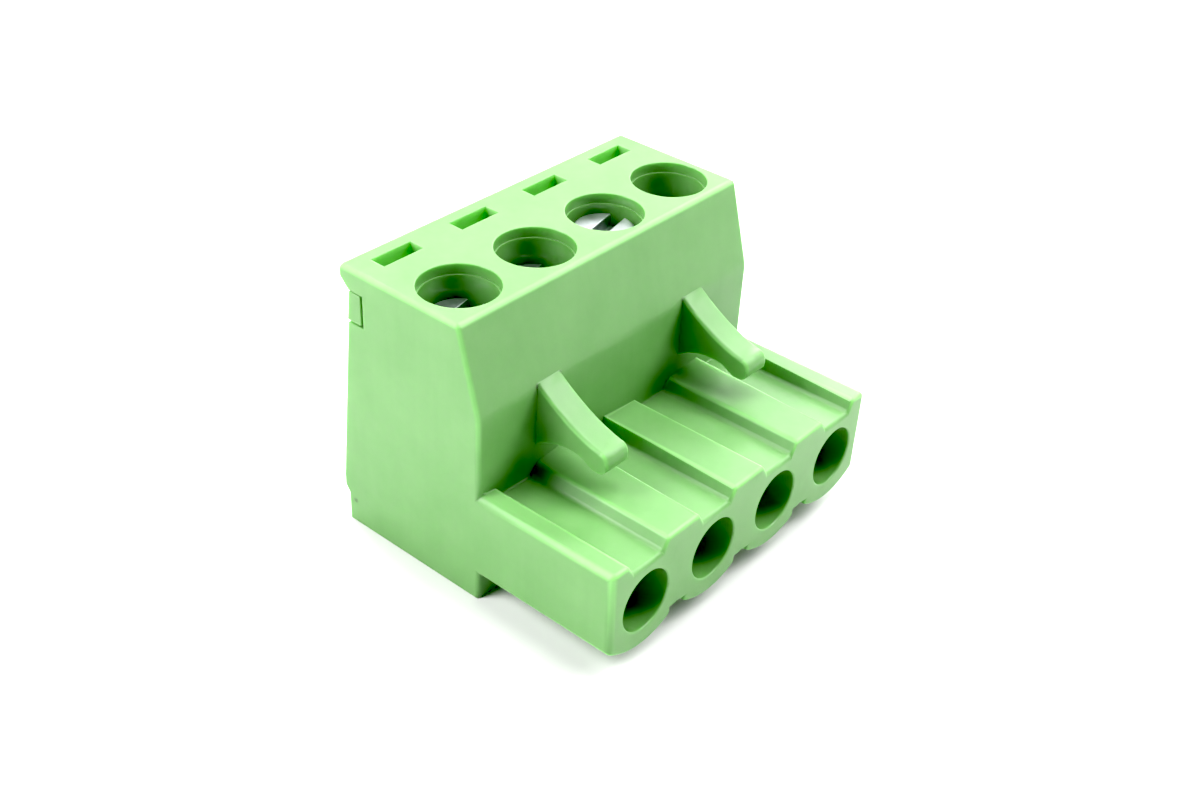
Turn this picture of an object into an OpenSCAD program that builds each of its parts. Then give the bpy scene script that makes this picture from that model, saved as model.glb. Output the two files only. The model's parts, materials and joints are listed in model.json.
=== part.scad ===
// Pluggable screw terminal block, four poles, plug half.
// X runs along the row of poles, -Y is the face that mates with the header,
// +Y is the wire side and +Z is up. The origin is the middle of the foot's outline.
// All sizes are in millimetres.

/* [Row of poles] */
// Distance between neighbouring poles
pitch = 5.08; // [5:0.02:5.3]
// Height of the housing over its foot
body_h = 15.04; // [14.9:0.02:15.6]
// Depth of the clamp block, from the wall over the plug to the rearmost line of its back
block_d = 9.42; // [9.3:0.02:9.9]
// Thickness of the housing's floor under the clamps
floor_t = 1; // [0.8:0.05:1.1]

/* [Plug] */
// Length of the plug that goes into the header
plug_len = 8.18; // [7.8:0.02:8.8]
// Height of the flat ribs on top of the plug
plug_top = 6.28; // [6.2:0.02:6.5]
// Height of the socket axes
socket_z = 3.4; // [3.3:0.02:3.46]
// Bore of a socket's mouth
socket_d = 3.24; // [3.1:0.02:3.3]
// Depth of that mouth, before the wider bore that holds the contact
mouth_len = 2.3; // [2:0.1:2.4]
// Width of the groove over each socket, at its top
groove_w = 2.8; // [2.2:0.1:3.4]
// Depth of that groove
groove_h = 0.66; // [0.4:0.02:0.7]
// Radius of the round belly under each socket
belly_r = 4; // [3.6:0.1:6]
// Width of the notch between two bellies
notch_w = 1.1; // [0.8:0.1:1.4]

/* [Latch hooks] */
// Distance between the two hooks
hook_gap = 10.9; // [9:0.1:12]
// Width of one hook
hook_w = 1.66; // [1.2:0.02:2]
// Reach of a hook over the plug
hook_len = 4.35; // [3.8:0.05:5]

/* [Screws] */
// Diameter of the screw shafts at the top face
well_d = 3.96; // [3.8:0.02:4.06]
// Diameter of a screw head
head_d = 3.24; // [3.1:0.02:3.36]
// Width of the screwdriver slot
slot_w = 0.8; // [0.5:0.05:1]
// Turn of the slots, counted from the row of poles
slot_angle = 12; // [0:1:180]
// Height that the third screw stands over a seated one
proud = 1; // [0:0.05:1.4]

/* [Clamps] */
// Rise of a clamp cage from open to closed
cage_rise = 3; // [2:0.1:3.1]
// Clear width inside a cage
cage_inner_w = 2.8; // [2.7:0.02:2.9]
// Thickness of the contact strip
strip_t = 0.5; // [0.4:0.02:0.54]

/* [Wire side] */
// Width of a wire funnel at its mouth
funnel_w = 3.9; // [3.5:0.1:4.2]
// Height of a wire funnel at its mouth
funnel_h = 4.4; // [4:0.1:4.6]
// Width of the seam round the cover's side tabs
seam = 0.12; // [0.05:0.01:0.2]

/* [Hidden] */

$fn = 64;
e = 0.01;                      // overlap that keeps cuts and unions clean
poles = 4;
body_w = poles * pitch;
wall_y = (plug_len - block_d) / 2;
front_y = wall_y - plug_len;
back_y = wall_y + block_d;

// side profile of the clamp block, in depth from the wall and height
lean_h = 4.5;                  // height of the part of the front wall that leans back
crease_z = body_h - lean_h;
crest_in = 1.27;               // depth of the top front edge
lean = atan(crest_in / lean_h);
crease_r = 2.5;                // its two flats meet in this round
foot_in = 0.28;                // the foot stands back from the rearmost line
foot_h = 1.65;
heel_h = 2.05;
belly_top = 2.7;               // the back leans forward above this height
neck_in = 1.07;                // how far it leans up to the lip
neck_h = 1.15;                 // from the top down to where that lean ends
neck_z = body_h - neck_h;
lip_in = 0.47;
lip_z = body_h - 0.55;

// plug
root = 0.8;                    // plug and hooks run this far into the clamp block
groove_z = plug_top - groove_h;
groove_side = 0.36;            // its sides slope in by this much
belly_z = 0.78;
notch_z = 1.65;
socket_step = 0.2;             // the bore that holds the contact is this much wider all round

// latch hooks
hook_in = 4.29;                // from the top of the housing down to where they spring
hook_z = body_h - hook_in;
hook_fall = 1.96;              // the top sweeps down this much to the nose
hook_sag = 0.27;               // hollow of that sweep
hook_t = 2.68;                 // from there down to the crown of the underside
arch_r = 3.6;                  // the underside is an arch
arch_in = 2.15;                // its crown stands this far off the wall
nose_r = 0.5;
nose_h = 1.17;                 // thickness at the nose
barb_len = 1.55;               // from the tip back to where the barb ends
barb_flat = 0.35;              // flat under the nose

// screw wells
well_in = 3.71;                // from the front wall back to the screws
well_y = wall_y + well_in;
well_r = well_d / 2;
well_step = 0.55;              // depth of the wide mouth
well_ledge = 0.08;             // the bore below it is this much narrower all round
bore_r = well_r - well_ledge;

// latch windows behind the wells
window_w = 2.49;
window_d = 0.89;
window_in = 1.67;
window_y = back_y - window_in;

// clamp cage
side_wall = 0.54;              // outer wall beside the first and the last clamp
chamber_w = pitch - 2 * side_wall;
cage_play = 0.08;              // all round a cage in its shaft
cage_w = chamber_w - 2 * cage_play;
cage_d = 3.8;
cage_gap = 0.03;               // play under an open cage
cage_floor = 0.7;
cage_mouth = 4.62;             // clear height inside the cage
cage_top = 1.6;                // thick roof that carries the thread
cage_z = floor_t + cage_gap;
cage_h = cage_floor + cage_mouth + cage_top;
cage_front = well_y - cage_d / 2;
thread_r = 1.5;

// screw
head_h = 1.55;
shank_r = thread_r - 0.05;
tip_z = cage_z + cage_floor + cage_mouth - 0.24;   // screw tips end just over the strip
slot_h = 0.75;                 // depth of the screwdriver slot
seat_in = 1.85;                // from the top down to a seated screw
seat_z = body_h - seat_in;
rise = [0.3, 0.1, proud, 0];   // how far each screw stands over a seated one

// contact strip
strip_z = tip_z - 0.03 - strip_t;
strip_w = cage_inner_w - 0.3;
leaf_w = 1.7;
chamber_y = wall_y + 1.2;
ceiling_z = cage_z + cage_h + cage_rise + 0.12;
entry_z = cage_z + cage_h + 0.15;                 // roof of the way that cages come in by

// rear cover
cover_d = 2.22;
cover_y = back_y - cover_d;
cover_gap = 0.05;
cover_top = neck_z;
tab_d = 1.94;
tab_y = back_y - tab_d;
tab_in = 2.9;                  // from the top down to the foot of a side tab
tab_z = body_h - tab_in;
wire_z = cage_z + cage_floor + (strip_z - cage_z - cage_floor) / 2;
throat_w = 3.1;
throat_h = 3.3;
throat_d = 0.7;

function pole_x(i) = (i - (poles - 1) / 2) * pitch;

// points along an arc, with the angles counted from the first axis
function arc(y, z, r, from, to, steps = 4) =
    [for (k = [0 : steps]) let (a = from + (to - from) * k / steps) [y + r * cos(a), z + r * sin(a)]];

// points from one place to another that sag below the straight line between them
function sweep(from, to, sag, steps = 8) =
    [for (k = [0 : steps]) let (t = k / steps) from + (to - from) * t - [0, 4 * sag * t * (1 - t)]];

// a profile drawn in depth and height, drawn out along the row
module along_row(w) {
    translate([-w / 2, 0, 0]) rotate([90, 0, 90]) linear_extrude(w) children();
}

// a profile drawn in width and height, drawn out from y0 to y1
module along_depth(y0, y1) {
    translate([0, y1, 0]) rotate([90, 0, 0]) linear_extrude(y1 - y0) children();
}

module box(w, y0, y1, z0, z1) {
    translate([-w / 2, y0, z0]) cube([w, y1 - y0, z1 - z0]);
}

module block_profile() {
    round_z = crease_z - crease_r * tan(lean / 2);
    crease = arc(wall_y + crease_r, round_z, crease_r, 180 - lean, 180);
    polygon(concat([
        [wall_y, 0],
        [back_y - foot_in, 0],
        [back_y - foot_in, foot_h],
        [back_y, heel_h],
        [back_y, belly_top],
        [back_y - neck_in, neck_z],
        [back_y - lip_in, lip_z],
        [back_y - lip_in, body_h],
        [wall_y + crest_in, body_h]
    ], crease));
}

// ribs and grooves above the sockets, bellies and notches below them
module plug_profile() {
    difference() {
        for (i = [0 : poles - 1]) translate([pole_x(i), 0]) intersection() {
            translate([0, belly_z + belly_r]) circle(belly_r, $fn = 128);
            translate([-pitch / 2, 0]) square([pitch, plug_top]);
        }
        for (i = [0 : poles - 1]) translate([pole_x(i), groove_z]) polygon([
            [-groove_w / 2 - e * groove_side / groove_h, groove_h + e],
            [-groove_w / 2 + groove_side, 0],
            [groove_w / 2 - groove_side, 0],
            [groove_w / 2 + e * groove_side / groove_h, groove_h + e]
        ]);
        for (i = [1 : poles - 1])
            translate([pole_x(i) - (pitch + notch_w) / 2, 0]) square([notch_w, notch_z]);
    }
}

// arm with a hollow top, an arched underside and a blunt nose that hooks down
module hook_profile() {
    tip_y = wall_y - hook_len;
    root_y = wall_y + root;
    nose_y = tip_y + nose_r;
    nose_z = hook_z - hook_fall;
    slope = atan((hook_fall - 4 * hook_sag) / (hook_len - nose_r));
    barb_turn = asin((hook_len - arch_in - barb_len) / arch_r);
    root_turn = asin(arch_in / arch_r);
    arch_z = hook_z - hook_t - arch_r;
    polygon(concat(
        [[root_y, hook_z]],
        sweep([wall_y, hook_z], [nose_y, nose_z], hook_sag),
        arc(nose_y, nose_z - nose_r, nose_r, 90 + slope, 180),
        arc(nose_y, nose_z - nose_h + nose_r, nose_r, 180, 270),
        [[nose_y + barb_flat, nose_z - nose_h]],
        arc(wall_y - arch_in, arch_z, arch_r, 90 + barb_turn, 90 - root_turn, 8),
        [[root_y, arch_z + arch_r * cos(root_turn)]]
    ));
}

module housing() {
    color([0.45, 0.72, 0.42]) difference() {
        union() {
            along_row(body_w) block_profile();
            along_depth(front_y, wall_y + root) plug_profile();
            for (s = [-1, 1]) translate([s * hook_gap / 2, 0, 0])
                along_row(hook_w) hook_profile();
        }
        for (i = [0 : poles - 1]) translate([pole_x(i), 0, 0]) pole_cavities();
        // seat of the rear cover
        box(body_w - 2 * side_wall, cover_y, back_y + e, floor_t, cover_top);
        // notches for the cover's side tabs
        box(body_w + 2 * e, tab_y, back_y + e, tab_z, cover_top);
    }
}

module pole_cavities() {
    // screw well, a wide mouth over a narrower bore
    translate([0, well_y, body_h - well_step]) cylinder(h = well_step + e, r = well_r);
    translate([0, well_y, ceiling_z - e])
        cylinder(h = body_h - well_step - ceiling_z + 2 * e, r = bore_r);
    // way in for cage and contact, and the shaft that guides the cage
    box(chamber_w, chamber_y, cover_y + e, floor_t, entry_z);
    box(chamber_w, cage_front - cage_play, cage_front + cage_d + cage_play, entry_z - e, ceiling_z);
    // socket, a mouth and the wider bore behind it
    translate([0, front_y + mouth_len + e, socket_z]) rotate([90, 0, 0])
        cylinder(h = mouth_len + 2 * e, r = socket_d / 2);
    translate([0, chamber_y + e, socket_z]) rotate([90, 0, 0])
        cylinder(h = chamber_y + e - front_y - mouth_len, r = socket_d / 2 + socket_step);
    // latch window
    box(window_w, window_y - window_d / 2, window_y + window_d / 2, cover_top - e, body_h + e);
}

module rear_cover() {
    cover_w = body_w - 2 * side_wall - 2 * cover_gap;
    color([0.42, 0.69, 0.39]) difference() {
        union() {
            along_row(cover_w) intersection() {
                block_profile();
                translate([cover_y, floor_t + cover_gap])
                    square([block_d, cover_top - floor_t - 2 * cover_gap]);
            }
            along_row(body_w) intersection() {
                block_profile();
                translate([tab_y + seam, tab_z + seam])
                    square([block_d, cover_top - tab_z - seam - cover_gap]);
            }
            for (i = [0 : poles - 1]) translate([pole_x(i), 0, 0]) latch_nub();
        }
        for (i = [0 : poles - 1]) translate([pole_x(i), 0, 0]) funnel();
    }
}

// wedge that snaps up into a latch window
module latch_nub() {
    nub_y = window_y - window_d / 2 + 0.06;
    along_row(window_w - 0.2) polygon([
        [nub_y, cover_top - 0.3],
        [nub_y, cover_top + 0.3],
        [nub_y + 0.2, cover_top + 0.3],
        [nub_y + 0.5, cover_top - 0.05],
        [nub_y + 0.5, cover_top - 0.3]
    ]);
}

// flared wire entry
module funnel() {
    box(throat_w, cover_y - e, back_y + e, wire_z - throat_h / 2, wire_z + throat_h / 2);
    hull() {
        translate([0, 0, wire_z])
            box(throat_w, cover_y + throat_d, cover_y + throat_d + e, -throat_h / 2, throat_h / 2);
        translate([0, 0, wire_z])
            box(funnel_w, back_y, back_y + e, -funnel_h / 2, funnel_h / 2);
    }
}

// slotted cheese head on a plain shank with a chamfered tip
module clamp_screw(i) {
    top = seat_z + rise[i];
    tip = tip_z + rise[i];
    tip_h = 0.35;
    rim = 0.15;
    translate([pole_x(i), well_y, 0]) color([0.8, 0.82, 0.84]) difference() {
        rotate_extrude() polygon([
            [0, tip],
            [shank_r - tip_h, tip],
            [shank_r, tip + tip_h],
            [shank_r, top - head_h],
            [head_d / 2 - rim, top - head_h],
            [head_d / 2, top - head_h + rim],
            [head_d / 2, top - rim],
            [head_d / 2 - rim, top],
            [0, top]
        ]);
        rotate(slot_angle) translate([-head_d, -slot_w / 2, top - slot_h])
            cube([2 * head_d, slot_w, head_h]);
    }
}

// box frame with a threaded roof and a ribbed floor
module clamp_cage(i) {
    corner = 0.4;
    color([0.78, 0.76, 0.7]) translate([pole_x(i), 0, 0]) {
        difference() {
            along_depth(cage_front, cage_front + cage_d) difference() {
                translate([0, cage_z]) rounded_rect(cage_w, cage_h, corner);
                translate([-cage_inner_w / 2, cage_z + cage_floor])
                    square([cage_inner_w, cage_mouth]);
            }
            translate([0, well_y, cage_z + cage_floor + e])
                cylinder(h = cage_h, r = thread_r);
        }
        for (k = [-1 : 1]) translate([0, well_y + k * 1.1, 0])
            along_row(cage_inner_w - 0.2) polygon([
                [-0.2, cage_z + cage_floor - 0.1],
                [0, cage_z + cage_floor + 0.18],
                [0.2, cage_z + cage_floor - 0.1]
            ]);
    }
}

// rectangle on the axis, with round corners
module rounded_rect(w, h, r) {
    translate([-w / 2 + r, 0]) square([w - 2 * r, h]);
    translate([-w / 2, r]) square([w, h - 2 * r]);
    for (x = [-w / 2 + r, w / 2 - r], z = [r, h - r])
        translate([x, z]) circle(r, $fn = 32);
}

// strip that the cage clamps against, bent down and forked round the header pin
module contact(i) {
    leaf_in = 2.5;
    leaf_tip = front_y + leaf_in;
    leaf_pinch = leaf_tip + 1;
    leaf_t = 0.35;
    leaf_out = 1.2;
    pinch = 0.35;
    strip_end = cage_front + cage_d + 0.15;
    color([0.82, 0.74, 0.5]) translate([pole_x(i), 0, 0]) {
        along_row(strip_w) polygon([
            [chamber_y, socket_z - leaf_out],
            [chamber_y + 0.45, socket_z - leaf_out],
            [chamber_y + 0.45, strip_z],
            [strip_end, strip_z],
            [strip_end, strip_z + strip_t],
            [chamber_y, strip_z + strip_t]
        ]);
        for (s = [-1, 1]) translate([0, 0, socket_z]) scale([1, 1, s])
            along_row(leaf_w) polygon([
                [chamber_y + 0.2, leaf_out],
                [leaf_pinch, pinch + leaf_t],
                [leaf_tip, 1],
                [leaf_tip - 0.1, 0.7],
                [leaf_pinch, pinch],
                [chamber_y + 0.2, leaf_out - leaf_t]
            ]);
    }
}

housing();
rear_cover();
clamp_screw(0);  // clamp_screw_1
clamp_screw(1);  // clamp_screw_2
clamp_screw(2);  // clamp_screw_3
clamp_screw(3);  // clamp_screw_4
clamp_cage(0);  // clamp_cage_1
clamp_cage(1);  // clamp_cage_2
clamp_cage(2);  // clamp_cage_3
clamp_cage(3);  // clamp_cage_4
contact(0);  // contact_1
contact(1);  // contact_2
contact(2);  // contact_3
contact(3);  // contact_4
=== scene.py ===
# %% [markdown]
# # A pluggable screw terminal block
#
# This is the plug half of a board connector: a green moulded housing with four
# sockets, a cover that closes its back, four slotted clamp screws, and a cage and
# a contact for each pole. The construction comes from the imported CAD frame, so
# nothing here moves or resizes it. This lesson adds what the eye reads: rounded
# moulded edges, real threads, resin that lets a little light through, and light.

# %% Load the frame
import json
import math

import bmesh
import bpy
from mathutils import Matrix, Vector
from mathutils.bvhtree import BVHTree


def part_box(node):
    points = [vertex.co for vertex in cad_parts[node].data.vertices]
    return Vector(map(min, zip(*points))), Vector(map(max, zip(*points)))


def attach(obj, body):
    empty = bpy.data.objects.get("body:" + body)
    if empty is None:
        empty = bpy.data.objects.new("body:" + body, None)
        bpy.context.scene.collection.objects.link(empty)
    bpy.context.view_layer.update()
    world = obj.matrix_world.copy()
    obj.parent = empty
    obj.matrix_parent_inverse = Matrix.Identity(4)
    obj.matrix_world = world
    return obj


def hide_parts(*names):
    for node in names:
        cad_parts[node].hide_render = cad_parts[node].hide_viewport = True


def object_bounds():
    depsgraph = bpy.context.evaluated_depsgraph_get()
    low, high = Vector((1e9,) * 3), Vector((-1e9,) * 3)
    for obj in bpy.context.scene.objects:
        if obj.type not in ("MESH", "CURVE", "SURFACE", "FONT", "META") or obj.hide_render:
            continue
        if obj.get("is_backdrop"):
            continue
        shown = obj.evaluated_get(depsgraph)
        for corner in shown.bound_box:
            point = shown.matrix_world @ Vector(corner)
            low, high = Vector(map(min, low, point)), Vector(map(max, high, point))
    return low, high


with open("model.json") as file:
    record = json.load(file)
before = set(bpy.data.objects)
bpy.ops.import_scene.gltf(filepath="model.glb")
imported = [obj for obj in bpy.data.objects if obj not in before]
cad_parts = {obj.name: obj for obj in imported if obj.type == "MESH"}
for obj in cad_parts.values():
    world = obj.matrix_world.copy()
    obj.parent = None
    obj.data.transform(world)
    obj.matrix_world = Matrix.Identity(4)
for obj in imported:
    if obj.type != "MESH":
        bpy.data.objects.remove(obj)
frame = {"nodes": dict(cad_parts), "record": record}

MM = 0.001
CAD_BOX = [list(corner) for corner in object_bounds()]
RECORD = frame["record"]
low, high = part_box("housing")
FRONT, BACK, TOP = low.y, high.y, high.z
SOCKETS = [mount for mount in RECORD["mounts"] if mount["name"].startswith("socket")]
SOCKET_Z = SOCKETS[0]["pos_m"][2]
SCREW_AXES = [joint["pos_m"][:2] for joint in RECORD["behaviour"]["joints"]
              if joint["name"].endswith("turn")]
POLE_X = [axis[0] for axis in SCREW_AXES]
SCREW_Y = SCREW_AXES[0][1]
PITCH = POLE_X[1] - POLE_X[0]
print(f"housing {(high.x - low.x) / MM:.2f} x {(BACK - FRONT) / MM:.2f} x {TOP / MM:.2f} mm, "
      f"{len(POLE_X)} poles, {PITCH / MM:.2f} mm apart")

# %% [markdown]
# ## Where the eye stands
#
# The camera stands close and looks down at the left front corner with a normal lens,
# so the far end of the row shrinks a little. Its place is in millimetres, and its
# direction is an azimuth, an elevation and the small roll that a hand-held camera has.

# %% Camera
LENS = 45.29
SENSOR = 36.0
AZIMUTH = math.radians(-51.231)
ELEVATION = math.radians(34.826)
ROLL = math.radians(3.242)
EYE = Vector((-49.286, -38.922, 49.743)) * MM

back = Vector((math.sin(AZIMUTH) * math.cos(ELEVATION),
               -math.cos(AZIMUTH) * math.cos(ELEVATION),
               math.sin(ELEVATION)))
level = Vector((0, 0, 1)).cross(back).normalized()
upright = back.cross(level)
right = level * math.cos(ROLL) + upright * math.sin(ROLL)
up = upright * math.cos(ROLL) - level * math.sin(ROLL)
camera = bpy.data.objects.new("camera", bpy.data.cameras.new("camera"))
camera.data.lens = LENS
camera.data.sensor_width = SENSOR
camera.data.clip_start = 0.001
camera.matrix_world = Matrix((
    (right.x, up.x, back.x, EYE.x),
    (right.y, up.y, back.y, EYE.y),
    (right.z, up.z, back.z, EYE.z),
    (0, 0, 0, 1)))
bpy.context.scene.collection.objects.link(camera)
bpy.context.scene.camera = camera
print(f"camera {EYE.length / MM:.0f} mm away, {math.degrees(ELEVATION):.1f} degrees up")

# %% [markdown]
# ## Colour and nodes
#
# Colours are written as the sRGB hex values a paint chart would give, and one
# function turns them to the linear values that a shader needs. Another makes a
# darker or lighter shade of such a colour. One more function adds a node with its
# settings and links.

# %% Colour and node helpers
def colour(hex_code):
    """Linear RGBA from an sRGB hex value."""
    channels = [int(hex_code[i:i + 2], 16) / 255 for i in (1, 3, 5)]
    linear = [c / 12.92 if c <= 0.04045 else ((c + 0.055) / 1.055) ** 2.4 for c in channels]
    return (*linear, 1.0)


def shade(base, red, green, blue):
    """A linear colour with each channel multiplied by its own share."""
    return (base[0] * red, base[1] * green, base[2] * blue, 1.0)


def add(tree, kind, inputs=None, **settings):
    """A new node in tree. An input's value is a constant or another node's output."""
    node = tree.nodes.new(kind)
    for name, value in settings.items():
        setattr(node, name, value)
    for name, value in (inputs or {}).items():
        if isinstance(value, bpy.types.NodeSocket):
            tree.links.new(value, node.inputs[name])
        else:
            node.inputs[name].default_value = value
    return node


def new_material(name):
    """An empty node material, and its tree."""
    material = bpy.data.materials.new(name)
    material.use_nodes = True
    material.node_tree.nodes.clear()
    return material, material.node_tree


def finish_material(tree, shader):
    """Joins the last shader to the output."""
    add(tree, "ShaderNodeOutputMaterial", {"Surface": shader.outputs[0]})


# %% [markdown]
# ## The table
#
# The table is plain pale card. The lamps make it look white. It is matt, so it shows
# only a soft shadow, and it throws some light back up at the sides of the plug.

# %% Table
CARD_REACH = 0.35  # metres from the middle of the card to its edge


def table():
    """A pale card far wider than the object."""
    bm = bmesh.new()
    bmesh.ops.create_grid(bm, x_segments=1, y_segments=1, size=CARD_REACH)
    mesh = bpy.data.meshes.new("table")
    bm.to_mesh(mesh)
    bm.free()
    card = bpy.data.objects.new("table", mesh)
    bpy.context.scene.collection.objects.link(card)
    material, tree = new_material("pale matt card")
    shader = add(tree, "ShaderNodeBsdfPrincipled",
                 {"Base Color": colour("#E2E2E2"), "Roughness": 0.9, "Specular IOR Level": 0.1})
    finish_material(tree, shader)
    mesh.materials.append(material)
    return card


table()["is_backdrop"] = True
print(f"card {2 * CARD_REACH:.1f} m wide")

# %% [markdown]
# ## Light
#
# A small product is lit by square soft boxes that stand round it, 0.3 m away. The
# strongest stands low behind the left side and brightens that side. Next come one
# nearly overhead, which lights the top, and one low at the right. The ones in front
# are weaker: they model the latch hooks and leave soft shadows on the wall behind
# them. The studio's own wall is white to the eye and gives no light. The black point
# of the picture is raised a little, as a catalogue does, so that pockets read as
# nearly black.

# %% Lamps
BLACK_POINT = 0.045
LAMP_DISTANCE = 0.30


def softbox(name, turn, height, width, watts):
    """A square lamp, turn degrees round from the right towards the back, height degrees up."""
    lamp = bpy.data.lights.new(name, "AREA")
    lamp.shape = "SQUARE"
    lamp.size = width
    lamp.energy = watts
    holder = bpy.data.objects.new(name, lamp)
    across = math.cos(math.radians(height))
    aim = Vector((across * math.cos(math.radians(turn)),
                  across * math.sin(math.radians(turn)),
                  math.sin(math.radians(height))))
    holder.location = aim * LAMP_DISTANCE
    holder.rotation_euler = aim.to_track_quat("Z", "Y").to_euler()
    bpy.context.scene.collection.objects.link(holder)


softbox("lamp_right", 15, 28, 0.12, 0.75)
softbox("lamp_back_right", 45, 30, 0.10, 0.13)
softbox("lamp_back_high", 72, 48, 0.12, 0.62)
softbox("lamp_back_left", 150, 28, 0.20, 1.05)
softbox("lamp_left_high", 144, 48, 0.10, 0.57)
softbox("lamp_front", 288, 48, 0.10, 0.05)
softbox("lamp_front_right", 324, 48, 0.10, 0.58)
softbox("lamp_front_low", 315, 28, 0.10, 0.36)
softbox("lamp_above", 345, 77, 0.15, 0.95)
watts = [lamp.energy for lamp in bpy.data.lights]
print(f"{len(watts)} soft boxes, {sum(watts):.2f} W together")

# %% The wall and the black point
world = bpy.data.worlds.new("white wall")
bpy.context.scene.world = world
world.use_nodes = True
backdrop = world.node_tree.nodes["Background"]
backdrop.inputs["Color"].default_value = colour("#FFFFFF")
backdrop.inputs["Strength"].default_value = 1.0
for ray in ("diffuse", "glossy", "transmission", "scatter"):
    setattr(world.cycles_visibility, ray, False)
look = bpy.context.scene.view_settings
look.view_transform = "Standard"
look.use_curve_mapping = True
look.curve_mapping.black_level = (BLACK_POINT,) * 3
look.curve_mapping.white_level = (1 + BLACK_POINT,) * 3
look.curve_mapping.update()
print(f"white wall, black point at {BLACK_POINT}")

# %% [markdown]
# ## Moulded polyamide
#
# The housing is polyamide 6.6, injection-moulded in a spark-eroded tool. The resin is
# milky: light goes in, scatters and comes out a millimetre away, so thin walls and
# rims glow and shading is soft. The eroded tool leaves a satin grain outside. The pins
# that shape the bores are polished, so the bores are glossy. The flowing resin leaves
# very faint upright streaks and slow changes of tone. The real grain is about 0.02 mm,
# too fine to show, so it is drawn at 0.12 mm.
#
# Rounded corners of a moulding catch more light than its flats, and the resin is thin
# there. That brightness is painted in: a weight on the vertices grows with the radius
# along the middle of each rounded edge and is 0 beside it, and it lifts the colour as a
# painted highlight. Two more attributes say where a polished pin was, and where light
# soaks through the thin walls of the latch windows.
# A small dark speck sits on the left side near the foot.

# %% Polyamide
GRAIN = 0.12 * MM
GRAIN_DEPTH = 0.01 * MM
STREAK = 0.6 * MM
STREAK_SQUEEZE = 0.08       # how much the noise is drawn out upwards
STREAK_SHARE = 0.25         # how strong the streaks are beside the clouds
CLOUD = 3.0 * MM
CLOUD_DEPTH = 0.04 * MM
SPECK = Vector((-10.16, 8.02, 1.38)) * MM
SPECK_RAGGED = 0.18 * MM    # how far the grain frays the speck's edge
SPECK_DARKNESS = 0.55
# how much lighter the painted edge highlight makes the colour
PAINTED_EDGE_HIGHLIGHT = 1.7
SATIN, POLISH = 0.46, 0.22
SCATTER, GLOW = 0.9 * MM, 2.6 * MM
POLYAMIDE_IOR = 1.53


def polyamide(name, hex_code):
    """Injection-moulded polyamide, satin outside and glossy in its bores."""
    material, tree = new_material(name)
    place = add(tree, "ShaderNodeTexCoord").outputs["Object"]
    grain = add(tree, "ShaderNodeTexNoise",
                {"Vector": place, "Scale": 1 / GRAIN, "Detail": 2.0, "Roughness": 0.6})
    drawn = add(tree, "ShaderNodeMapping", {"Vector": place, "Scale": (1, 1, STREAK_SQUEEZE)})
    streak = add(tree, "ShaderNodeTexNoise",
                 {"Vector": drawn.outputs["Vector"], "Scale": 1 / STREAK, "Detail": 2.0})
    cloud = add(tree, "ShaderNodeTexNoise",
                {"Vector": place, "Scale": 1 / CLOUD, "Detail": 5.0, "Roughness": 0.6})
    faint = add(tree, "ShaderNodeMath", {0: streak.outputs["Fac"], 1: STREAK_SHARE},
                operation="MULTIPLY")
    mix = add(tree, "ShaderNodeMath",
              {0: faint.outputs["Value"], 1: cloud.outputs["Fac"]}, operation="ADD")
    base = colour(hex_code)
    tone = add(tree, "ShaderNodeValToRGB", {"Fac": mix.outputs["Value"]})
    dark, light = tone.color_ramp.elements
    dark.position, light.position = 0.45, 0.80
    dark.color = shade(base, 0.93, 0.96, 0.92)
    light.color = shade(base, 1.07, 1.04, 1.08)
    # Painted highlight: the colour is made lighter along the middle of rounded edges.
    rim = add(tree, "ShaderNodeAttribute", attribute_name="rim")
    highlight_gain = add(tree, "ShaderNodeMapRange",
               {"Value": rim.outputs["Fac"], "To Min": 1.0, "To Max": PAINTED_EDGE_HIGHLIGHT})
    highlighted = add(tree, "ShaderNodeHueSaturation",
                {"Color": tone.outputs["Color"], "Value": highlight_gain.outputs["Result"]})
    # A small dark speck on the left side near the foot: the colour is darkened there.
    near = add(tree, "ShaderNodeVectorMath", {0: place, 1: SPECK}, operation="DISTANCE")
    ragged = add(tree, "ShaderNodeMath",
                 {0: grain.outputs["Fac"], 1: SPECK_RAGGED, 2: near.outputs["Value"]},
                 operation="MULTIPLY_ADD")
    darkened = add(tree, "ShaderNodeMapRange",
                {"Value": ragged.outputs["Value"], "From Min": 0.16 * MM, "From Max": 0.26 * MM,
                 "To Min": SPECK_DARKNESS, "To Max": 1.0})
    spotted = add(tree, "ShaderNodeHueSaturation",
                  {"Color": highlighted.outputs["Color"], "Value": darkened.outputs["Result"]})
    polished = add(tree, "ShaderNodeAttribute", attribute_name="polished")
    rough = add(tree, "ShaderNodeMapRange",
                {"Value": polished.outputs["Fac"], "To Min": SATIN, "To Max": POLISH})
    window = add(tree, "ShaderNodeAttribute", attribute_name="window")
    scatter = add(tree, "ShaderNodeMapRange",
                  {"Value": window.outputs["Fac"], "To Min": SCATTER, "To Max": GLOW})
    fine = add(tree, "ShaderNodeBump",
               {"Height": grain.outputs["Fac"], "Strength": 0.25, "Distance": GRAIN_DEPTH})
    slow = add(tree, "ShaderNodeBump",
               {"Height": cloud.outputs["Fac"], "Strength": 0.15, "Distance": CLOUD_DEPTH,
                "Normal": fine.outputs["Normal"]})
    shader = add(tree, "ShaderNodeBsdfPrincipled",
                 {"Base Color": spotted.outputs["Color"], "Roughness": rough.outputs["Result"],
                  "IOR": POLYAMIDE_IOR, "Subsurface Weight": 0.7,
                  "Subsurface Scale": scatter.outputs["Result"],
                  "Subsurface Radius": (0.6, 1.0, 0.5), "Normal": slow.outputs["Normal"]})
    finish_material(tree, shader)
    return material


HOUSING_GREEN = polyamide("moulded polyamide, housing", "#679758")
COVER_GREEN = polyamide("moulded polyamide, cover", "#659456")
print("two moulded greens")

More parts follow.
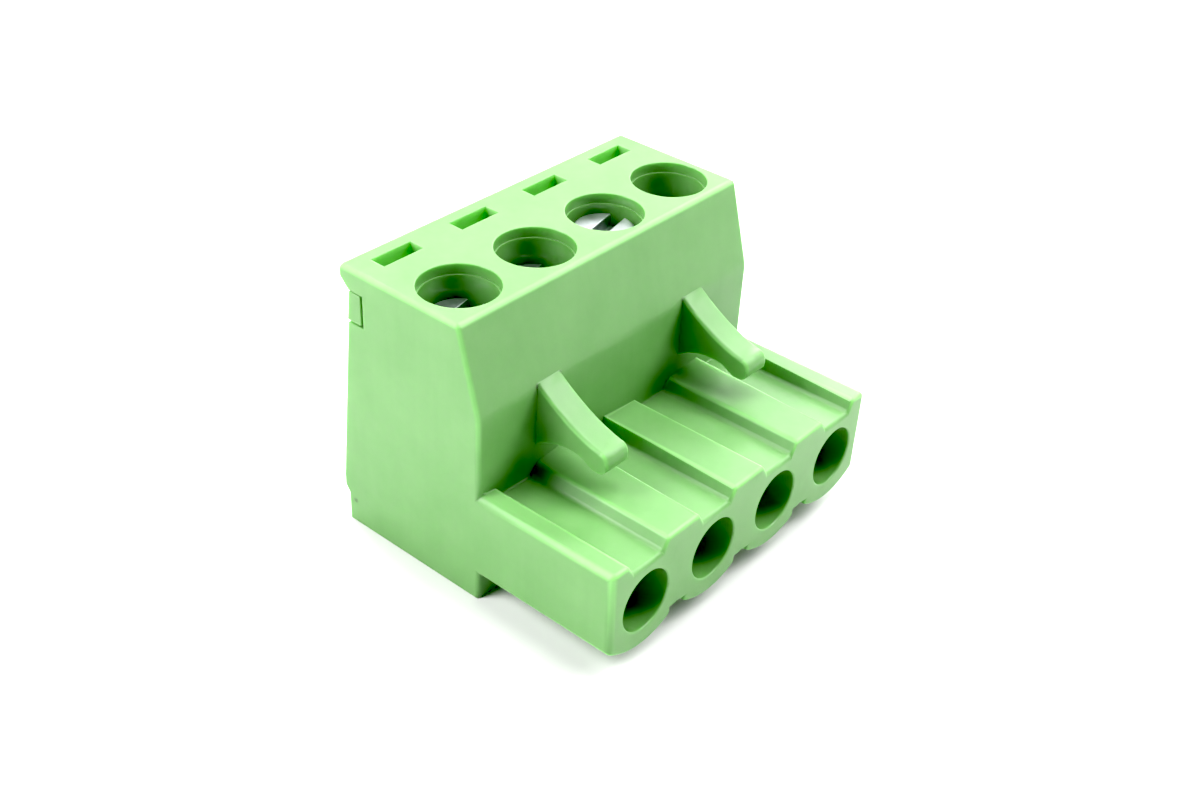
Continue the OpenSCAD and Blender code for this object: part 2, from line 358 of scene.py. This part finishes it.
# %% [markdown]
# ## Rounded moulded edges
#
# A mould is milled and eroded, so outside corners of a moulding are round, while the
# rims of its holes are nearly sharp. The CAD solid is sharp everywhere. A merged copy
# of its mesh gets a bevel weight on each edge, and a Bevel modifier rounds it. Only
# edges that light can reach are worth it: a ray from each edge, halfway between its
# two faces, tells whether the way out is free. The bevel puts its new faces in a
# second slot, so they can be told from the flats. After that, each edge still bent by
# more than 35 degrees is marked sharp, and the flats keep flat normals.

# %% Rounding
HAIR = 0.01 * MM            # nearer than this counts as touching
ROUND_MAX = 0.40 * MM       # the radius that a square edge gets at a bevel weight of 1
ONE_FLAT = math.radians(0.6)
BENT = 0.05                 # radians: flatter edges don't decide what is convex
SHARP = math.radians(12)    # flatter edges than this are facets of a curve
CREASE = math.radians(35)


def middle(edge):
    """The point halfway along an edge."""
    return (edge.verts[0].co + edge.verts[1].co) / 2


def course(edge):
    """The direction that an edge runs in."""
    return (edge.verts[0].co - edge.verts[1].co).normalized()


def merged_copy(node):
    """The CAD mesh of a node with its corners joined and its flats made whole."""
    bm = bmesh.new()
    bm.from_mesh(frame["nodes"][node].data)
    bmesh.ops.remove_doubles(bm, verts=bm.verts, dist=0.001 * MM)
    bmesh.ops.dissolve_limit(bm, angle_limit=ONE_FLAT, verts=bm.verts, edges=bm.edges)
    return bm


def in_the_open(tree, edge):
    """True where a ray from the middle of an edge gets away."""
    outward = (edge.link_faces[0].normal + edge.link_faces[1].normal).normalized()
    return tree.ray_cast(middle(edge) + outward * HAIR, outward)[0] is None


def add_bevel(piece):
    """The Bevel modifier that rounds each edge by its weight."""
    bevel = piece.modifiers.new("rounded edges", "BEVEL")
    bevel.limit_method = "WEIGHT"
    bevel.width = ROUND_MAX
    bevel.segments = 3
    bevel.profile = 0.5
    bevel.use_clamp_overlap = False
    bevel.miter_outer = "MITER_SHARP"
    bevel.face_strength_mode = "FSTR_ALL"
    bevel.material = 1
    return bevel


def rounded_piece(bm, name, radius_of, material):
    """Gives each sharp edge the radius that radius_of says, and makes the finished piece."""
    weight = bm.edges.layers.float.new("bevel_weight_edge")
    # A weight on each vertex for the painted highlight along rounded edges.
    rim = bm.verts.layers.float.new("rim")
    tree = BVHTree.FromBMesh(bm)
    count = 0
    for edge in bm.edges:
        if edge.calc_face_angle(0) < SHARP:
            continue
        radius = radius_of(edge) if in_the_open(tree, edge) else 0
        edge[weight] = radius / ROUND_MAX
        for vert in edge.verts:
            vert[rim] = max(vert[rim], radius / ROUND_MAX)
        count += radius > 0
    mesh = bpy.data.meshes.new(name)
    bm.to_mesh(mesh)
    bm.free()
    piece = bpy.data.objects.new(name, mesh)
    bpy.context.scene.collection.objects.link(piece)
    mesh.materials.append(material)
    mesh.materials.append(material)
    bevel = add_bevel(piece)
    bm = bmesh.new()
    bm.from_object(piece, bpy.context.evaluated_depsgraph_get())
    piece.modifiers.remove(bevel)
    # The painted highlight stays only where every face is a new bevel face on a convex round.
    rim = bm.verts.layers.float["rim"]
    for vert in bm.verts:
        bent = [edge for edge in vert.link_edges if edge.calc_face_angle(0) > BENT]
        if not (all(face.material_index == 1 for face in vert.link_faces)
                and all(edge.is_convex for edge in bent)):
            vert[rim] = 0.0
    for face in bm.faces:
        face.material_index = 0
        face.smooth = True
    for edge in bm.edges:
        edge.smooth = edge.calc_face_angle(0) < CREASE
    bm.to_mesh(mesh)
    bm.free()
    mesh.materials.pop()
    normals = piece.modifiers.new("flat faces", "WEIGHTED_NORMAL")
    normals.keep_sharp = True
    normals.use_face_influence = True
    print(f"{name}: {count} edges rounded")
    return piece


# %% [markdown]
# ## The housing
#
# The clamp block, the ribbed plug and the two latch hooks are one moulding, so they
# stay one piece. The wall that the plug grows from is found in the mesh itself: it
# is the largest flat that faces forward behind the plug's nose.

# %% Places on the housing
bm = merged_copy("housing")
forward = [face for face in bm.faces
           if face.normal.y < -0.99 and face.calc_center_median().y > FRONT + MM]
WALL = max(forward, key=lambda face: face.calc_area()).calc_center_median().y
RIB_TOP = max(vert.co.z for vert in bm.verts if vert.co.y < WALL - 6 * MM)
HOOK_FOOT = RIB_TOP + 0.3 * MM
BELLY_TOP = SOCKET_Z - 1.7 * MM
TAB_FRONT, TAB_FOOT = BACK - 2.1 * MM, TOP - 3 * MM
WINDOW_Y, WINDOW_FOOT = BACK - 1.7 * MM, TOP - 4 * MM
print(f"wall at y {WALL / MM:.2f}, ribs up to z {RIB_TOP / MM:.2f}")


def from_pole(x):
    """How far x is to the right of the nearest pole's axis."""
    return min((x - pole for pole in POLE_X), key=abs)


def from_well(at):
    """How far a point is from the axis of the nearest screw well."""
    return math.hypot(from_pole(at.x), at.y - SCREW_Y)


def from_socket(at):
    """How far a point is from the axis of the nearest socket."""
    return math.hypot(from_pole(at.x), at.z - SOCKET_Z)


def from_side(at):
    """How far a point lies inside the nearer end of the row."""
    return high.x - abs(at.x)


# %% [markdown]
# Each kind of edge on a moulding has its own radius. Where a cutter made the tool, at
# the outside of the plug and the block, the round is wide. Where a pin or a slide meets
# the tool, at the rims of holes, it is small. The outlines of the latch hooks are round,
# and their edges along the row stay as the CAD has them. A round on the ledge inside a
# well made the well look too dark, so that ledge stays sharp.

# %% Radii of the housing's edges
WELL_REACH = 2.1 * MM       # a little more than a well's radius
MOUTH_REACH = 1.75 * MM     # a little more than the radius of a socket's mouth
WELL_RIM = 0.06 * MM
WINDOW_RIM = 0.03 * MM
TOP_EDGE = 0.26 * MM
FOOT_EDGE = 0.08 * MM
HOOK_EDGE = 0.20 * MM
SOCKET_RIM = 0.10 * MM
BELLY_EDGE, BELLY_GROOVE = 0.16 * MM, 0.12 * MM
PLUG_SIDE = 0.38 * MM
RIB_END, RIB_EDGE = 0.24 * MM, 0.18 * MM
BLOCK_SIDE = 0.26 * MM
TAB_SEAM, TAB_SIDE = 0.04 * MM, 0.10 * MM
WALL_EDGE = 0.12 * MM
INNER_EDGE, INNER_GROOVE = 0.12 * MM, 0.05 * MM
MOSTLY = 0.9                # an edge runs along an axis when this much of it does


def top_radius(at):
    """How round an edge of the top face is."""
    if from_well(at) < WELL_REACH:
        return WELL_RIM
    if abs(at.y - WINDOW_Y) < 0.7 * MM and from_side(at) > 0.1 * MM:
        return WINDOW_RIM
    return TOP_EDGE


def plug_radius(edge, at, run):
    """How round an edge in front of the wall is: on a hook, or on the plug."""
    if at.z > HOOK_FOOT:
        return 0.0 if abs(run.x) > MOSTLY else HOOK_EDGE
    if from_socket(at) < MOUTH_REACH:
        return SOCKET_RIM
    if at.z < BELLY_TOP:
        return BELLY_EDGE if edge.is_convex else BELLY_GROOVE
    if from_side(at) < HAIR:
        return PLUG_SIDE
    return RIB_END if abs(run.x) > MOSTLY or abs(run.z) > MOSTLY else RIB_EDGE


def side_radius(at, run):
    """How round an edge on the block's left or right face is."""
    if at.y > TAB_FRONT:
        return TAB_SEAM if at.z > TAB_FOOT and abs(run.z) < MOSTLY else TAB_SIDE
    return BLOCK_SIDE


def housing_radius(edge):
    """How round one edge of the moulding is."""
    at = middle(edge)
    run = course(edge)
    if TOP - at.z < HAIR:
        return top_radius(at)
    if at.z < HAIR:
        return FOOT_EDGE
    if at.y < WALL - 2 * HAIR:
        return plug_radius(edge, at, run)
    if from_side(at) < HAIR:
        return side_radius(at, run)
    if abs(at.y - WALL) < 2 * HAIR:
        return 0.0 if at.z > RIB_TOP + MM else WALL_EDGE
    if from_well(at) < WELL_REACH:
        return 0.0
    return INNER_EDGE if edge.is_convex else INNER_GROOVE


print(f"rounds from {WINDOW_RIM / MM:.2f} to {PLUG_SIDE / MM:.2f} mm")

# %% [markdown]
# Two attributes on the faces steer the resin. The walls of the wells and the sockets
# were shaped by polished pins, and the walls of the latch windows are thin.

# %% Housing
WELL_WALL = 2.02 * MM       # wide enough to take in the walls of the wells
SOCKET_WALL = 1.9 * MM      # and the walls of the sockets' bores
STEEP = 0.7                 # a wall's normal rises less than this, a steep edge more
LEVEL = 0.99                # a face whose normal rises more than this is a floor

polished = bm.faces.layers.float.new("polished")
window = bm.faces.layers.float.new("window")
for face in bm.faces:
    at = face.calc_center_median()
    in_well = from_well(at) < WELL_WALL and at.z > RIB_TOP and abs(face.normal.z) < STEEP
    in_socket = from_socket(at) < SOCKET_WALL and FRONT + HAIR < at.y < WALL
    if in_well or in_socket:
        face[polished] = 1.0
    in_window = (abs(at.y - WINDOW_Y) < 0.5 * MM and abs(from_pole(at.x)) < 1.3 * MM
                 and at.z > WINDOW_FOOT)
    if in_window and abs(face.normal.z) < LEVEL:
        face[window] = 1.0
housing = rounded_piece(bm, "moulded_housing", housing_radius, HOUSING_GREEN)
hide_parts("housing")
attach(housing, "block")

# %% [markdown]
# ## The rear cover
#
# The cover is a second moulding that snaps into the back of the block and holds the
# cages and contacts in. Its tabs reach round to both sides and end flush there. Its
# rounds are smaller than the housing's, so that the seam round each tab stays a thin
# line. The lip at the foot and the thin edges at both sides are too slender for a
# round and stay sharp.

# %% Rear cover
POST_ROUND = 0.14 * MM
COVER_ROUND = 0.03 * MM
POST_FRONT = BACK - 1.3 * MM
POST_INSET = 1.8 * MM       # the posts stand further than this from the ends of the row
FEATHER_INSET = 0.8 * MM    # and the thin edges nearer than this
FEATHER_TOP = TOP - 5 * MM
LIP_TOP = SOCKET_Z - MM


def cover_radius(edge):
    """Small rounds at the tabs, wider ones on the posts between the funnels."""
    at = middle(edge)
    post = (at.y > POST_FRONT and abs(course(edge).z) > STEEP
            and from_side(at) > POST_INSET and edge.is_convex)
    feather = from_side(at) < FEATHER_INSET and at.z < FEATHER_TOP
    if feather or at.z < LIP_TOP:
        return 0.0
    return POST_ROUND if post else COVER_ROUND


cover = rounded_piece(merged_copy("rear_cover"), "moulded_rear_cover", cover_radius,
                      COVER_GREEN)
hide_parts("rear_cover")
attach(cover, "block")

# %% [markdown]
# ## Plated metal
#
# The screws are zinc-plated steel: bright and a little blue. The cages are
# nickel-plated brass, warmer and a little smoother. The contacts are tin-plated
# bronze, pale and satin. Under each plating are the fine straight marks of a tool or
# a roll. One function makes all three. What differs is the colour, the roughness and
# which way the marks run: a Mapping node stretches the noise along that direction.
# Real marks are finer than 0.05 mm, too fine to show, so they are drawn at that width.

# %% Metals
MARK = 0.05 * MM
MARK_DEPTH = 0.005 * MM
PATCH = 0.8 * MM            # the size of the slow changes of tone in the plating
DRAWN = 0.12                # how much the noise is drawn out along the marks


def plated(name, hex_code, roughness, stretch):
    """A plated metal with fine tool marks, drawn out along the small number in stretch."""
    material, tree = new_material(name)
    place = add(tree, "ShaderNodeTexCoord").outputs["Object"]
    drawn = add(tree, "ShaderNodeMapping", {"Vector": place, "Scale": stretch})
    marks = add(tree, "ShaderNodeTexNoise",
                {"Vector": drawn.outputs["Vector"], "Scale": 1 / MARK, "Detail": 3.0})
    cloud = add(tree, "ShaderNodeTexNoise",
                {"Vector": place, "Scale": 1 / PATCH, "Detail": 2.0})
    base = colour(hex_code)
    tone = add(tree, "ShaderNodeValToRGB", {"Fac": cloud.outputs["Fac"]})
    dull, bright = tone.color_ramp.elements
    dull.position, bright.position = 0.35, 0.65
    dull.color = shade(base, 0.82, 0.82, 0.80)
    bright.color = base
    rough = add(tree, "ShaderNodeMapRange",
                {"Value": marks.outputs["Fac"], "From Min": 0.3, "From Max": 0.7,
                 "To Min": roughness - 0.06, "To Max": roughness + 0.08})
    bump = add(tree, "ShaderNodeBump",
               {"Height": marks.outputs["Fac"], "Strength": 0.25, "Distance": MARK_DEPTH})
    shader = add(tree, "ShaderNodeBsdfPrincipled",
                 {"Base Color": tone.outputs["Color"], "Metallic": 1.0,
                  "Roughness": rough.outputs["Result"], "Normal": bump.outputs["Normal"]})
    finish_material(tree, shader)
    return material


ZINC = plated("zinc-plated steel, turned", "#AEB4B6", 0.34, (1, DRAWN, 1))
NICKEL = plated("nickel-plated brass, stamped", "#D8D0C0", 0.32, (1, 1, DRAWN))
TIN = plated("tin-plated bronze, rolled", "#D5D2C8", 0.42, (1, DRAWN, 1))
print("three plated metals")

# %% [markdown]
# ## Clamp screws
#
# Each is a slotted cheese-head screw. The CAD shank is a plain cylinder of the
# thread's outer size, so that it can be checked as a bearing. Here the shank is drawn
# in to the thread's core by a scale about its axis, and a ridge is wound round it: a
# small closed section, spun with a little rise at each step, is just how a thread is
# cut. A right-hand thread of 0.5 mm rise matches the coupling of screw and cage.

# %% Thread
CORE = 1.22 * MM
CREST = 1.47 * MM
RISE = 0.5 * MM
STEPS_A_TURN = 24
ROOT = CORE - 0.06 * MM     # the ridge starts inside the core, so no gap shows
RIDGE_FOOT = 0.21 * MM      # half the ridge's width at its foot
RIDGE_TOP = 0.05 * MM       # half its width at the crest


def wind_thread(bm, axis, bottom, top):
    """A closed ridge wound to the right round an upright axis, tapered at both ends."""
    section = [(ROOT, -RIDGE_FOOT), (CREST, -RIDGE_TOP), (CREST, RIDGE_TOP), (ROOT, RIDGE_FOOT)]
    corners = len(section)
    start = bottom + RIDGE_FOOT
    turns = (top - bottom - 2 * RIDGE_FOOT) / RISE
    steps = round(turns * STEPS_A_TURN)
    verts = [bm.verts.new(axis + Vector((r, 0, start + z))) for r, z in section]
    loop = [bm.edges.new((verts[i], verts[(i + 1) % corners])) for i in range(corners)]
    before = set(bm.faces)
    known = set(bm.verts)
    spun = bmesh.ops.spin(bm, geom=verts + loop, cent=axis, axis=(0, 0, 1),
                          dvec=(0, 0, RISE / STEPS_A_TURN), angle=2 * math.pi * turns,
                          steps=steps, use_merge=False, use_duplicate=False)
    rings = verts + [vert for vert in bm.verts if vert not in known]
    last = [item for item in spun["geom_last"] if isinstance(item, bmesh.types.BMEdge)]
    bmesh.ops.contextual_create(bm, geom=loop)
    bmesh.ops.contextual_create(bm, geom=last)
    taper = STEPS_A_TURN // 2
    for i in range(taper):
        shrink = ROOT / CREST + (1 - ROOT / CREST) * i / taper
        for ring in (i, steps - i):
            crest = rings[corners * ring + 1:corners * ring + 3]
            bmesh.ops.scale(bm, vec=(shrink, shrink, 1), verts=crest,
                            space=Matrix.Translation(-axis))
    ridge = [face for face in bm.faces if face not in before]
    bmesh.ops.recalc_face_normals(bm, faces=ridge)
    return steps


# %% Screws
SHANK_LEAST, SHANK_MOST = 1.0 * MM, 1.46 * MM  # the shank's corners lie between these
HEAD_LEAST = 1.55 * MM      # only the head reaches further out than this
TIP_CLEAR = 0.25 * MM       # the thread stops this far above the tip
HEAD_ROUND = 0.05 * MM
HEAD_FOOT = 0.3 * MM        # only edges higher than this above the thread are rounded


def clamp_screw(k):
    """Screw k with its thread and softened edges."""
    bm = merged_copy(f"clamp_screw_{k}")
    axis = Vector((*SCREW_AXES[k - 1], 0))

    def out(vert):
        return math.hypot(vert.co.x - axis.x, vert.co.y - axis.y)

    under_head = min(vert.co.z for vert in bm.verts if out(vert) > HEAD_LEAST)
    tip = min(vert.co.z for vert in bm.verts)
    crown = max(vert.co.z for vert in bm.verts)
    shank = [vert for vert in bm.verts
             if SHANK_LEAST < out(vert) < SHANK_MOST and vert.co.z < under_head + HAIR]
    widest = max(out(vert) for vert in shank)
    bmesh.ops.scale(bm, vec=(CORE / widest, CORE / widest, 1), verts=shank,
                    space=Matrix.Translation(-axis))
    steps = wind_thread(bm, axis, tip + TIP_CLEAR, under_head)

    def radius(edge):
        return HEAD_ROUND if middle(edge).z > under_head + HEAD_FOOT else 0.0

    piece = rounded_piece(bm, f"slotted_screw_{k}", radius, ZINC)
    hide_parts(f"clamp_screw_{k}")
    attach(piece, f"screw_{k}")
    print(f"screw {k}: head top at z {crown / MM:.2f}, thread of {steps} steps")


for k in range(1, len(POLE_X) + 1):
    clamp_screw(k)

# %% [markdown]
# ## Cages and contacts
#
# A cage is a stamped and bent frame, and a contact is a strip cut and bent from sheet.
# Shears leave such edges slightly broken, so both get a very small round. Their shapes
# are the CAD ones.

# %% Cages and contacts
CAGE_ROUND = 0.06 * MM
CONTACT_ROUND = 0.04 * MM


def metal_piece(node, name, body, material, radius):
    """A stamped part with its sheared edges broken."""
    piece = rounded_piece(merged_copy(node), name, lambda edge: radius, material)
    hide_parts(node)
    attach(piece, body)


for k in range(1, len(POLE_X) + 1):
    metal_piece(f"clamp_cage_{k}", f"bent_cage_{k}", f"cage_{k}",
                NICKEL, CAGE_ROUND)
    metal_piece(f"contact_{k}", f"forked_contact_{k}", "block",
                TIN, CONTACT_ROUND)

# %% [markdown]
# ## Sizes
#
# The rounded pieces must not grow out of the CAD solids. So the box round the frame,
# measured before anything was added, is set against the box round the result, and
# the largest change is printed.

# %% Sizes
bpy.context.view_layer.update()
grown = max(abs(seen[i] - cad[i]) for cad, seen in zip(CAD_BOX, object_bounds()) for i in range(3))
print(f"the box changed by {grown / MM:.3f} mm")
